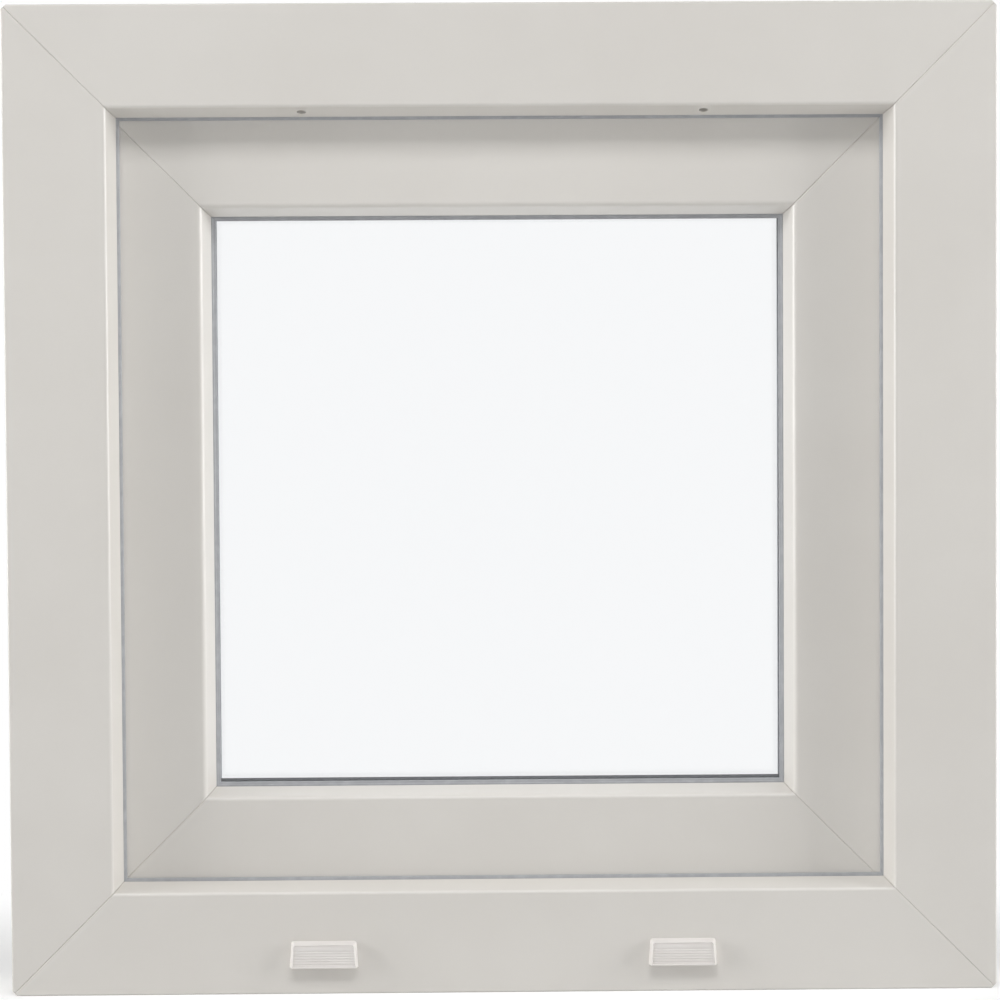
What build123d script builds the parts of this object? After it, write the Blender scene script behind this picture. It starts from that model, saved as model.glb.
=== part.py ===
from build123d import *
import os

# Axes: x to the right seen from outside, -y outside, +y room side, z up, all in millimetres.
# The origin is the middle of the sill's underside, at half the frame's depth.
# Profile sections are drawn in depth (along y) and reach (distance in from the perimeter).

# Window and outer frame
width = 600.0
height = 600.0
frame_depth = 70.0
outer_face = -frame_depth / 2
room_face = frame_depth / 2
frame_flat = 62.0            # flat outer face, up to the sloped edge
lip_reach = 67.2             # tip of the lip, before it is rounded
lip_back = -17.5             # plane behind the lip
rebate_reach = 47.0          # rebate floor beside the room face
channel_reach = 43.5         # drained channel behind the lip
corner_cut = 3.2             # trimmed weld at the frame's four outer corners
clip_groove_mouth = 14.0
clip_groove_depth = 3.5
clip_groove_flare = 2.0
clip_groove_centre = 20.0
frame_webs = (-22.25, -13.25, 16.25, 24.75)    # depths of the webs between the chambers

# Sash
seal_gap = 2.5               # between the lip and the sash's outer face
sash_outer = lip_back + seal_gap
sash_depth = 70.0
sash_room = sash_outer + sash_depth
sash_reach = 59.0            # outer edge of the sash's body, clear of the rebate
sash_flat = 119.3
sash_lip_reach = 124.9
sash_lip_back = 0.0
overlap_reach = 39.0         # outer edge of the room side overlap
overlap_back = room_face + 3.0
glass_rebate_reach = 106.0
sash_corner_cut = 1.4
sash_webs = (-3.75, 4.25, 35.75, 40.75)
gear_centre = overlap_back - 13.0
gear_mouth = 16.0            # groove for the gear, wide at its mouth and narrower below
gear_lip = 3.0
gear_width = 12.0
gear_depth = 9.5
sash_shift = -1.7            # the shut sash hangs a little to the left and low
sash_drop = 1.8
sash_hang = Location((sash_shift, 0, -sash_drop))
glass_lift = 1.1             # the glass unit stands on its blocks, a little high in the sash
glass_hang = Location((sash_shift, 0, glass_lift - sash_drop))
nose_step = 0.5              # the sash's nose chamber ends this far short of the first web

# Walls shared by both profiles
outer_wall = 2.8
inner_web = 1.5
frame_round = 2.4            # soft corner where the flat outer face turns into the slope
sash_round = 3.5
tip_round = 0.8
seal_groove = 3.2            # width and depth of every seal groove
seal_play = 0.3              # between a seal's foot and the side of its groove
frame_seal_reach = lip_reach - 1.4       # inner side of each seal groove
lip_seal_reach = sash_lip_reach - 2.2
overlap_seal_reach = overlap_reach + 3.2
weld_groove = 0.45           # depth, and half the width, of the groove along each mitre
weld_reach = 1.3             # how far round a soft corner the groove's edges are looked for
mitre_reach = 132.0
cut_depth = 100.0            # longer than any piece is deep

# Insulating glass
pane = 4.0
cavity = 16.0
glass_outer = sash_lip_back + 3.0
glass_edge_reach = glass_rebate_reach + 5.5
spacer_reach = 125.9
spacer_height = 7.6
spacer_shoulder = 2.0
seal_film = 0.3
glass_room = glass_outer + 2 * pane + cavity

# Glazing bead
bead_glass_side = glass_room + 4.5
bead_room_side = sash_room - 1.0
bead_groove_near = 43.0
bead_groove_far = 49.0
bead_groove_reach = glass_rebate_reach - 5.5

# Drain caps on the sill and vent holes in the head
cap_spacing = 218.6
cap_middle = -1.0            # halfway between the caps, from the window's middle
cap_bottom = 16.4
cap_height = 16.0
cap_top_width = 39.6
cap_bottom_width = 41.7
cap_projection = 5.5
cap_wall = 1.2
cap_top_bevel = 2.4
cap_side_bevel = 1.4
cap_lip = 1.0                # drip edge along the foot of the cap's face
cap_round = 1.5
cap_clip_width = 3.0
cap_clip_spacing = 25.0
cap_clip_play = 0.3
drain_slot_length = 30.0
drain_slot_height = 5.0
drain_slot_depth = outer_wall + 1.0
vent_diameter = 5.85
vent_places = (-120.2, 123.3)
vent_depth = 7.0

# Handle, turned down as when the window is shut
handle_x = width / 2 - 72.5
handle_z = height / 2
rosette_width = 30.0
rosette_height = 66.0
rosette_depth = 11.0
collar_radius = 12.0
collar_depth = 4.0
grip_depth = 46.0            # from the sash's face to the middle of the grip
grip_length = 118.0
grip_width = 20.0
grip_thickness = 11.0
grip_chamfer = 3.0
grip_bend = 14.0

# Hinges on the left, seen from outside
hinge_x = -272.0
hinge_y = 50.0
knuckle_radius = 7.0
knuckle_length = 42.0
hinge_pin_radius = 3.5
hinge_play = 0.05
hinge_gap = 0.4              # between the knuckles, and round the band inside its cover
hinge_from_corner = 28.0
boss_length = 14.0
boss_wall = 4.0
plate_width = 26.0
plate_height = 44.0
plate_thickness = 3.0
plate_offset = -5.0          # plate's middle from the pin, away from the sash
plate_middle = 15.0          # and along the frame, from the bearing's outer end
band_thickness = 10.0
pin_end = 2.0
cover_wall = 1.6

SIDES = {
    "top": (Vector(0, 0, height), Vector(0, 0, -1), width),
    "bottom": (Vector(0, 0, 0), Vector(0, 0, 1), width),
    "left": (Vector(-width / 2, 0, height / 2), Vector(1, 0, 0), height),
    "right": (Vector(width / 2, 0, height / 2), Vector(-1, 0, 0), height),
}
DEPTH_AXIS = Vector(0, 1, 0)


def section_plane(side):
    """Plane across one side: x is depth, y is reach in from the perimeter."""
    middle, inward, _ = SIDES[side]
    return Plane(origin=middle, x_dir=DEPTH_AXIS, z_dir=DEPTH_AXIS.cross(inward))


def facing_plane(side):
    """Plane seen square on from outside or inside: x is along the side, y is reach."""
    middle, inward, _ = SIDES[side]
    along = DEPTH_AXIS.cross(inward)
    return Plane(origin=middle, x_dir=along, z_dir=along.cross(inward))


def outline(points):
    """Closed outline from (depth, reach, corner radius) triples."""
    with BuildLine() as loop:
        FilletPolyline(*[(y, u) for y, u, _ in points], radius=[r for _, _, r in points], close=True)
    make_face(loop.edges())


def chamber(near, far, low, high):
    """Rectangular hollow between two depths and two reaches."""
    with Locations(((near + far) / 2, (low + high) / 2)):
        Rectangle(far - near, high - low, mode=Mode.SUBTRACT)


def mitre_cut(side):
    """Keeps what lies between the 45 degree cuts at the two ends of a side."""
    half = SIDES[side][2] / 2
    with BuildSketch(facing_plane(side)) as wedge:
        with BuildLine():
            Polyline((-half, 0), (half, 0), (half - mitre_reach, mitre_reach),
                     (mitre_reach - half, mitre_reach), close=True)
        make_face()
    extrude(wedge.sketch, amount=cut_depth, both=True, mode=Mode.INTERSECT)


def trim_tips(side, trim):
    """Cuts the sharp corners off the two ends, square to the mitres."""
    half = SIDES[side][2] / 2
    with BuildSketch(facing_plane(side)) as tips:
        for end in (-1, 1):
            with BuildLine():
                Polyline((end * (half + 1), -1), (end * (half - trim - 1), -1),
                         (end * (half + 1), trim + 1), close=True)
            make_face()
    extrude(tips.sketch, amount=cut_depth, both=True, mode=Mode.SUBTRACT)


def rout_welds(bar, near, far):
    """Cuts a shallow V groove along each mitre, over the outer face and slope and the room face."""
    def is_mitre(face):
        normal = face.normal_at()
        return abs(normal.Y) < 0.01 and abs(abs(normal.X) - abs(normal.Z)) < 0.01

    def is_outer(edge):
        slanted = edge.geom_type == GeomType.LINE and 0.6 < abs((edge % 0.5).Y) < 0.98
        return slanted or edge.center().Y < near + weld_reach

    for end in bar.faces().filter_by(GeomType.PLANE).filter_by(is_mitre).sort_by(SortBy.AREA)[-2:]:
        rim = end.outer_wire().edges()
        for seam in (rim.filter_by(is_outer), rim.filter_by(lambda edge: edge.center().Y > far - weld_reach)):
            path = Wire(seam)
            with BuildSketch(Plane(origin=path @ 0, x_dir=end.normal_at(), z_dir=path % 0)) as groove:
                Rectangle(weld_groove * 2 ** 0.5, weld_groove * 2 ** 0.5, rotation=45)
            sweep(groove.sketch, path=path, transition=Transition.RIGHT, mode=Mode.SUBTRACT)


def frame_section(side):
    """Five chamber frame profile, drained behind the lip, with clip grooves round the perimeter."""
    mouth = clip_groove_mouth / 2
    base = mouth + clip_groove_flare
    centre = clip_groove_centre
    groove_high = frame_seal_reach
    groove_low = groove_high - seal_groove
    with BuildSketch(section_plane(side)) as section:
        outline([
            (outer_face, 0, 1.0),
            (outer_face, frame_flat, frame_round),
            (lip_back, lip_reach, tip_round),
            (lip_back, groove_high, 0),
            (lip_back - seal_groove, groove_high, 0),
            (lip_back - seal_groove, groove_low, 0),
            (lip_back, groove_low, 0),
            (lip_back, channel_reach, 0),
            (7.0, channel_reach + 1.0, 0),
            (7.0, rebate_reach, 0),
            (room_face, rebate_reach, 0),
            (room_face, 0, 1.0),
            (centre + mouth, 0, 0),
            (centre + base, clip_groove_depth, 0),
            (centre - base, clip_groove_depth, 0),
            (centre - mouth, 0, 0),
            (mouth - centre, 0, 0),
            (base - centre, clip_groove_depth, 0),
            (-base - centre, clip_groove_depth, 0),
            (-mouth - centre, 0, 0),
        ])
        floor = clip_groove_depth + outer_wall
        skin = outer_face + outer_wall
        web = inner_web / 2
        first, second, third, fourth = frame_webs
        chamber(skin, first - web, floor, rebate_reach)
        chamber(skin, lip_back - seal_groove - inner_web, rebate_reach + inner_web, frame_flat - outer_wall)
        chamber(first + web, second - web, floor, channel_reach - outer_wall)
        chamber(second + web, third - web, floor, channel_reach - outer_wall)
        chamber(third + web, fourth - web, floor, rebate_reach - outer_wall)
        chamber(fourth + web, room_face - outer_wall, floor, rebate_reach - outer_wall)
    extrude(section.sketch, amount=SIDES[side][2] / 2, both=True)
    mitre_cut(side)
    trim_tips(side, corner_cut)


def sash_section(side):
    """Sash profile with a room side overlap, a gear groove on its edge and a glazing rebate."""
    rebate = glass_rebate_reach
    lip_seal = lip_seal_reach
    overlap_seal = overlap_seal_reach
    gear_foot = sash_reach + gear_depth
    with BuildSketch(section_plane(side)) as section:
        outline([
            (sash_outer, sash_reach, 0),
            (sash_outer, sash_flat, sash_round),
            (sash_lip_back, sash_lip_reach, tip_round),
            (sash_lip_back, lip_seal, 0),
            (sash_lip_back - seal_groove, lip_seal, 0),
            (sash_lip_back - seal_groove, lip_seal - seal_groove, 0),
            (sash_lip_back, lip_seal - seal_groove, 0),
            (sash_lip_back, rebate, 0),
            (bead_groove_near, rebate, 0),
            (bead_groove_near, bead_groove_reach, 0),
            (bead_groove_far, bead_groove_reach, 0),
            (bead_groove_far, rebate, 0),
            (sash_room, rebate, 0),
            (sash_room, overlap_reach, frame_round),
            (overlap_back, overlap_reach, 0),
            (overlap_back, overlap_seal, 0),
            (overlap_back + seal_groove, overlap_seal, 0),
            (overlap_back + seal_groove, overlap_seal + seal_groove, 0),
            (overlap_back, overlap_seal + seal_groove, 0),
            (overlap_back, sash_reach, 0),
            (gear_centre + gear_mouth / 2, sash_reach, 0),
            (gear_centre + gear_mouth / 2, sash_reach + gear_lip, 0),
            (gear_centre + gear_width / 2, sash_reach + gear_lip, 0),
            (gear_centre + gear_width / 2, gear_foot, 0),
            (gear_centre - gear_width / 2, gear_foot, 0),
            (gear_centre - gear_width / 2, sash_reach + gear_lip, 0),
            (gear_centre - gear_mouth / 2, sash_reach + gear_lip, 0),
            (gear_centre - gear_mouth / 2, sash_reach, 0),
        ])
        low = sash_reach + outer_wall
        high = rebate - outer_wall
        skin = sash_outer + outer_wall
        room_skin = sash_room - outer_wall
        web = inner_web / 2
        first, second, third, fourth = sash_webs
        chamber(skin, first - web, low, high)
        chamber(skin, first - web - nose_step, high + inner_web, sash_flat - outer_wall)
        chamber(first + web, second - web, low, high)
        chamber(second + web, third - web, gear_foot + outer_wall, high)
        chamber(second + web, gear_centre - gear_width / 2 - 2 * outer_wall + web, low, gear_foot + inner_web)
        chamber(third + web, fourth - web, low, high)
        chamber(fourth + web, room_skin, sash_reach - inner_web, bead_groove_reach - outer_wall)
        chamber(overlap_back + seal_groove + outer_wall, room_skin, overlap_reach + outer_wall,
                sash_reach - 2 * inner_web)
    extrude(section.sketch, amount=SIDES[side][2] / 2, both=True)
    mitre_cut(side)
    trim_tips(side, 2 * overlap_reach + sash_corner_cut)


def bead_section(side):
    """Hollow glazing bead with a sloped room face and a foot that clips into the sash."""
    base = glass_rebate_reach
    top = sash_lip_reach
    foot = bead_groove_reach + 0.8
    with BuildSketch(section_plane(side)) as section:
        outline([
            (bead_glass_side, base, 0),
            (bead_glass_side, top - 1.6, 1.0),
            (bead_glass_side + 2.5, top, 1.0),
            (bead_glass_side + 6.5, top, 3.0),
            (bead_room_side, base + 3.0, 2.0),
            (bead_room_side, base, 0),
            (bead_groove_far - 0.3, base, 0),
            (bead_groove_far - 0.3, foot, 0),
            (bead_groove_near + 1.2, foot, 0),
            (bead_groove_near + 1.2, foot + 1.4, 0),
            (bead_groove_near + 3.8, foot + 2.4, 0),
            (bead_groove_near + 3.8, base, 0),
        ])
        with BuildLine():
            Polyline(
                (bead_glass_side + 1.6, base + 1.6), (bead_glass_side + 1.6, top - 2.6),
                (bead_glass_side + 6.0, top - 1.8), (bead_room_side - 2.6, base + 3.6),
                (bead_room_side - 2.6, base + 1.6), close=True,
            )
        make_face(mode=Mode.SUBTRACT)
    extrude(section.sketch, amount=SIDES[side][2] / 2, both=True)
    mitre_cut(side)


def ring(reach, points):
    """Closed loop with one section, swept round the window at a given reach."""
    half = width / 2 - reach
    with BuildLine(Plane.XZ) as path:
        Polyline((0, reach), (half, reach), (half, height - reach), (-half, height - reach),
                 (-half, reach), (0, reach))
    with BuildSketch(section_plane("bottom")) as section:
        outline(points)
    sweep(section.sketch, path=path.wire(), transition=Transition.RIGHT)


def save(piece, name, place=Location()):
    """Labels a finished piece, puts it in its place and writes it."""
    placed = piece.moved(place)
    placed.label = name
    export_step(placed, f"parts/{name}.step")


os.makedirs("parts", exist_ok=True)

# Outer frame
with BuildPart() as frame_head:
    frame_section("top")
    rout_welds(frame_head, outer_face, room_face)
    slope_rise = lip_back - outer_face
    slope_run = lip_reach - frame_flat
    for vent_x in vent_places:
        vent_plane = Plane(
            origin=(vent_x, (outer_face + lip_back) / 2, height - (frame_flat + lip_reach) / 2),
            x_dir=(1, 0, 0),
            z_dir=(0, -slope_run, -slope_rise),
        )
        with BuildSketch(vent_plane):
            Circle(vent_diameter / 2)
        extrude(amount=-vent_depth, mode=Mode.SUBTRACT)
save(frame_head.part, "frame_head")

with BuildPart() as frame_sill:
    frame_section("bottom")
    rout_welds(frame_sill, outer_face, room_face)
    with BuildSketch(Plane.XZ.offset(frame_depth / 2)):
        with Locations((cap_middle, cap_bottom + cap_height / 2)):
            with GridLocations(cap_spacing, 1, 2, 1):
                SlotOverall(drain_slot_length, drain_slot_height)
    extrude(amount=-drain_slot_depth, mode=Mode.SUBTRACT)
save(frame_sill.part, "frame_sill")

for jamb_side in ("left", "right"):
    with BuildPart() as frame_jamb:
        frame_section(jamb_side)
        rout_welds(frame_jamb, outer_face, room_face)
    save(frame_jamb.part, f"frame_jamb_{jamb_side}")

# Sash
sash_names = {"top": "sash_top_rail", "bottom": "sash_bottom_rail", "left": "sash_stile_left",
              "right": "sash_stile_right"}
for sash_side, sash_name in sash_names.items():
    with BuildPart() as sash_bar:
        sash_section(sash_side)
        rout_welds(sash_bar, sash_outer, sash_room)
    save(sash_bar.part, sash_name, sash_hang)

# Glazing beads
for bead_side in SIDES:
    with BuildPart() as bead:
        bead_section(bead_side)
    save(bead.part, f"bead_{bead_side}", sash_hang)

# Seals
with BuildPart() as frame_gasket:
    foot_high = frame_seal_reach - seal_play
    foot_low = frame_seal_reach - seal_groove + seal_play
    ring(lip_reach, [
        (lip_back - seal_groove + seal_play, foot_low, 0),
        (lip_back - seal_groove + seal_play, foot_high, 0),
        (lip_back, foot_high, 0),
        (lip_back, lip_reach - 0.2, 0),
        (lip_back + 0.7, lip_reach + 1.3, 0.6),
        (sash_outer, lip_reach + 1.5, 0),
        (sash_outer, lip_reach - 6.0, 0),
        (lip_back, lip_reach - 5.6, 0),
        (lip_back, foot_low, 0),
    ])
save(frame_gasket.part, "frame_gasket")

with BuildPart() as sash_gasket:
    foot_low = overlap_seal_reach + seal_play
    foot_high = overlap_seal_reach + seal_groove - seal_play
    ring(foot_low, [
        (overlap_back + seal_groove - seal_play, foot_low, 0),
        (overlap_back + seal_groove - seal_play, foot_high, 0),
        (overlap_back, foot_high, 0),
        (overlap_back, foot_high + 0.8, 0),
        (room_face, foot_high - 0.6, 0.6),
        (room_face, foot_low - 2.0, 0.6),
        (overlap_back, foot_low - 2.4, 0),
        (overlap_back, foot_low, 0),
    ])
save(sash_gasket.part, "sash_gasket", sash_hang)

with BuildPart() as glass_gasket:
    foot_high = lip_seal_reach - seal_play
    foot_low = lip_seal_reach - seal_groove + seal_play
    ring(sash_lip_reach, [
        (sash_lip_back - seal_groove + seal_play, foot_low, 0),
        (sash_lip_back - seal_groove + seal_play, foot_high, 0),
        (sash_lip_back, foot_high, 0),
        (sash_lip_back, sash_lip_reach - 0.2, 0.2),
        (sash_lip_back + 0.5, sash_lip_reach + 1.9, 0.9),
        (glass_outer - 0.8, sash_lip_reach + 2.9, 0.4),
        (glass_outer, sash_lip_reach + 2.9, 0),
        (glass_outer, foot_low - 1.0, 0),
        (sash_lip_back, foot_low - 1.0, 0),
        (sash_lip_back, foot_low, 0),
    ])
save(glass_gasket.part, "glass_gasket", sash_hang)

with BuildPart() as bead_gasket:
    bead_top = sash_lip_reach
    ring(bead_top, [
        (glass_room, bead_top - 6.0, 0),
        (glass_room, bead_top + 0.4, 0),
        (glass_room + 1.4, bead_top + 1.2, 0.5),
        (bead_glass_side, bead_top - 1.8, 0),
        (bead_glass_side, bead_top - 6.0, 0),
    ])
save(bead_gasket.part, "bead_gasket", sash_hang)

# Insulating glass
pane_width = width - 2 * glass_edge_reach
pane_height = height - 2 * glass_edge_reach
for pane_name, pane_near in (("outer_pane", glass_outer), ("inner_pane", glass_room - pane)):
    pane_plane = Plane(origin=(0, pane_near, height / 2), x_dir=(-1, 0, 0), z_dir=(0, 1, 0))
    with BuildPart() as glass_pane:
        with BuildSketch(pane_plane):
            Rectangle(pane_width, pane_height)
        extrude(amount=pane)
        chamfer(glass_pane.edges(), 0.4)
    save(glass_pane.part, pane_name, glass_hang)

cavity_near = glass_outer + pane
cavity_far = cavity_near + cavity
with BuildPart() as spacer_bar:
    ring(spacer_reach, [
        (cavity_near + seal_film, spacer_reach, 0.5),
        (cavity_far - seal_film, spacer_reach, 0.5),
        (cavity_far - seal_film, spacer_reach - spacer_height + spacer_shoulder, 0),
        (cavity_far - seal_film - spacer_shoulder, spacer_reach - spacer_height, 0),
        (cavity_near + seal_film + spacer_shoulder, spacer_reach - spacer_height, 0),
        (cavity_near + seal_film, spacer_reach - spacer_height + spacer_shoulder, 0),
    ])
save(spacer_bar.part, "spacer_bar", glass_hang)

with BuildPart() as edge_seal:
    ring(glass_edge_reach, [
        (cavity_near, glass_edge_reach + 0.5, 0),
        (cavity_near, spacer_reach - spacer_height, 0),
        (cavity_far, spacer_reach - spacer_height, 0),
        (cavity_far, glass_edge_reach + 0.5, 0),
    ])
save(edge_seal.part, "edge_seal", glass_hang)

# Drain caps
for cap_side, cap_sign in (("left", -1), ("right", 1)):
    cap_x = cap_middle + cap_sign * cap_spacing / 2
    back = Plane(origin=(cap_x, outer_face, cap_bottom), x_dir=(1, 0, 0), z_dir=(0, -1, 0))
    with BuildPart() as drain_cap:
        for lift, side_in, top_in in ((0, 0, 0), (cap_projection, cap_side_bevel, cap_top_bevel)):
            with BuildSketch(back.offset(lift)) as cap_level:
                with BuildLine():
                    Polyline(
                        (side_in - cap_bottom_width / 2, 0), (cap_bottom_width / 2 - side_in, 0),
                        (cap_top_width / 2 - side_in, cap_height - top_in),
                        (side_in - cap_top_width / 2, cap_height - top_in), close=True,
                    )
                make_face()
                fillet(cap_level.vertices().group_by(Axis.Y)[-1], cap_round)
        loft()
        with BuildSketch(back):
            with Locations((0, cap_height / 2 - cap_top_bevel)):
                Rectangle(cap_top_width - 2 * cap_side_bevel - 2 * cap_wall, cap_height)
        extrude(amount=cap_projection - cap_wall, mode=Mode.SUBTRACT)
        with BuildSketch(back.offset(cap_projection)):
            with Locations((0, cap_lip / 2)):
                Rectangle(cap_bottom_width - 2 * cap_side_bevel - cap_lip, cap_lip)
        extrude(amount=cap_lip / 2)
        with BuildSketch(back.offset(cap_projection - cap_wall)):
            with Locations((0, cap_height / 2)):
                with GridLocations(cap_clip_spacing, 1, 2, 1):
                    Rectangle(cap_clip_width, drain_slot_height - cap_wall)
        extrude(amount=-(cap_projection - cap_wall + drain_slot_depth - cap_clip_play))
    save(drain_cap.part, f"drain_cap_{cap_side}")

# Handle
handle_plane = Plane(origin=(handle_x, sash_room, handle_z), x_dir=(-1, 0, 0), z_dir=(0, 1, 0))
with BuildPart() as handle_rosette:
    with BuildSketch(handle_plane):
        RectangleRounded(rosette_width, rosette_height, rosette_width / 2 - 1)
    extrude(amount=rosette_depth)
    chamfer(handle_rosette.edges().group_by(Axis.Y)[-1], 1.5)
save(handle_rosette.part, "handle_rosette", sash_hang)

with BuildPart() as handle_lever:
    with BuildSketch(handle_plane.offset(rosette_depth)):
        Circle(collar_radius)
    extrude(amount=collar_depth)
    chamfer(handle_lever.edges().group_by(Axis.Y)[-1], 1)
    neck_start = sash_room + rosette_depth + collar_depth / 2
    with BuildLine() as grip_path:
        FilletPolyline(
            (handle_x, neck_start, handle_z),
            (handle_x, sash_room + grip_depth, handle_z),
            (handle_x, sash_room + grip_depth, handle_z - grip_length),
            radius=grip_bend,
        )
    with BuildSketch(Plane(origin=grip_path.line @ 0, x_dir=(1, 0, 0), z_dir=(0, 1, 0))) as grip_section:
        Rectangle(grip_width, grip_thickness)
        chamfer(grip_section.vertices(), grip_chamfer)
    sweep(grip_section.sketch, path=grip_path.line)
    chamfer(handle_lever.edges().group_by(Axis.Z)[0], grip_chamfer / 2)
save(handle_lever.part, "handle_lever", sash_hang)

# Hinges: a bearing on the frame, a band on the sash's overlap, the pin and a cover
leaf_end = overlap_reach - width / 2 + sash_shift - hinge_x
hinge_stand = hinge_y - room_face
for hinge_name, hinge_z, rise in (("corner", hinge_from_corner, 1), ("stay", height - hinge_from_corner, -1)):
    level = Plane(origin=(hinge_x, hinge_y, hinge_z), x_dir=(1, 0, 0), z_dir=(0, 0, rise))
    band_level = level.offset(boss_length + hinge_gap)

    with BuildPart() as hinge_bearing:
        with BuildSketch(level):
            Circle(hinge_pin_radius + boss_wall)
            with Locations((0, -rise * hinge_stand / 2)):
                Rectangle(2 * (hinge_pin_radius + boss_wall), hinge_stand)
        extrude(amount=boss_length)
        with BuildSketch(Plane.XZ.offset(-room_face)):
            with Locations((hinge_x + plate_offset, hinge_z + rise * plate_middle)):
                Rectangle(plate_width, plate_height)
        extrude(amount=-plate_thickness)
        with Locations(level):
            Cylinder(hinge_pin_radius + hinge_play, 3 * boss_length, mode=Mode.SUBTRACT)
    save(hinge_bearing.part, f"{hinge_name}_bearing")

    with BuildPart() as hinge_band:
        with BuildSketch(band_level):
            Circle(knuckle_radius)
            with Locations((leaf_end / 2, 0)):
                Rectangle(leaf_end, band_thickness)
            Circle(hinge_pin_radius + hinge_play, mode=Mode.SUBTRACT)
        extrude(amount=knuckle_length)
    save(hinge_band.part, f"{hinge_name}_band")

    with BuildPart() as hinge_pin:
        with BuildSketch(level):
            Circle(hinge_pin_radius)
        extrude(amount=boss_length + knuckle_length + pin_end)
    save(hinge_pin.part, f"{hinge_name}_pin")

    with BuildPart() as hinge_cap:
        with BuildSketch(band_level.offset(cover_wall)):
            RegularPolygon(knuckle_radius + hinge_gap + cover_wall, 8, major_radius=False, rotation=22.5)
            RegularPolygon(knuckle_radius + hinge_gap, 8, major_radius=False, rotation=22.5,
                           mode=Mode.SUBTRACT)
            with Locations((knuckle_radius + cover_wall, 0)):
                Rectangle(2 * knuckle_radius, 4 * knuckle_radius, mode=Mode.SUBTRACT)
        extrude(amount=knuckle_length - 2 * cover_wall)
    save(hinge_cap.part, f"{hinge_name}_cap")
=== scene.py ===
"""Tilt and turn window in white plastic, shut, dressed and lit as a studio picture from outside."""
import logging
import math
from dataclasses import dataclass, field
from enum import Enum
from functools import cache
from typing import Any, Callable, Iterable, Union

import bmesh
import bpy
from mathutils import Matrix, Vector


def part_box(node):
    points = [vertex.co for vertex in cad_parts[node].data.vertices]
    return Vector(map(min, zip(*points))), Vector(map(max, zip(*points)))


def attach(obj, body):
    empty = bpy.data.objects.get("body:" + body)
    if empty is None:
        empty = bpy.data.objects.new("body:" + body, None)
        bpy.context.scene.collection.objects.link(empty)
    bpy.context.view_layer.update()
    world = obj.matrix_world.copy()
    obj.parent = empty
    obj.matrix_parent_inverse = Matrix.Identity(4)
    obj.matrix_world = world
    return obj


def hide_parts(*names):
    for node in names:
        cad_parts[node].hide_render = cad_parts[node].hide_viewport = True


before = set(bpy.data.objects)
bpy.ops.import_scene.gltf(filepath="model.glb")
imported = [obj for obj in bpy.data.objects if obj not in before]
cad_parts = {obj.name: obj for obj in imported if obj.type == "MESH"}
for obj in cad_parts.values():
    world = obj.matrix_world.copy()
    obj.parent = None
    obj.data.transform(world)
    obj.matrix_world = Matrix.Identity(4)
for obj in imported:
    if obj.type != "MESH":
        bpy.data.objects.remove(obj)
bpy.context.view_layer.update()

MM = 0.001
BODY = "root"
NOISE_ROUGHNESS = 0.55
log = logging.getLogger("window")

Colour = tuple[float, float, float]
Place = tuple[float, float, float]


# Shader graph


class Value:
    """A value socket that Python arithmetic turns into Math nodes."""

    def __init__(self, graph: "Graph", socket: bpy.types.NodeSocket) -> None:
        """Wraps a socket.

        Args:
            graph: The graph that holds the socket.
            socket: The output socket.
        """
        self.graph = graph
        self.socket = socket

    def math(self, operation: str, *operands: "Operand") -> "Value":
        """Adds one Math node.

        Args:
            operation: The node's operation.
            operands: Its operands, in order.

        Returns:
            The node's result.
        """
        settings = {"operation": operation}
        node = self.graph.node("ShaderNodeMath", settings, dict(enumerate(operands)))
        return Value(self.graph, node.outputs[0])

    def __add__(self, other: "Operand") -> "Value":
        """Sum."""
        return self.math("ADD", self, other)

    def __radd__(self, other: "Operand") -> "Value":
        """Sum, reflected."""
        return self.math("ADD", other, self)

    def __sub__(self, other: "Operand") -> "Value":
        """Difference."""
        return self.math("SUBTRACT", self, other)

    def __rsub__(self, other: "Operand") -> "Value":
        """Difference, reflected."""
        return self.math("SUBTRACT", other, self)

    def __mul__(self, other: "Operand") -> "Value":
        """Product."""
        return self.math("MULTIPLY", self, other)

    def __rmul__(self, other: "Operand") -> "Value":
        """Product, reflected."""
        return self.math("MULTIPLY", other, self)

    def sine(self) -> "Value":
        """Sine of the value in radians."""
        return self.math("SINE", self)

    def most(self, other: "Operand") -> "Value":
        """The larger of two values."""
        return self.math("MAXIMUM", self, other)

    def ramp(self, low: float, high: float) -> "Value":
        """Smooth step from 0 at low to 1 at high.

        Args:
            low: Value that gives 0.
            high: Value that gives 1.

        Returns:
            The stepped value.
        """
        settings = {"interpolation_type": "SMOOTHSTEP"}
        sockets = {"Value": self, "From Min": low, "From Max": high}
        node = self.graph.node("ShaderNodeMapRange", settings, sockets)
        return Value(self.graph, node.outputs["Result"])


Operand = Union[Value, float]
Link = Union[Value, bpy.types.NodeSocket, float, Colour, tuple[float, ...]]


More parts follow.
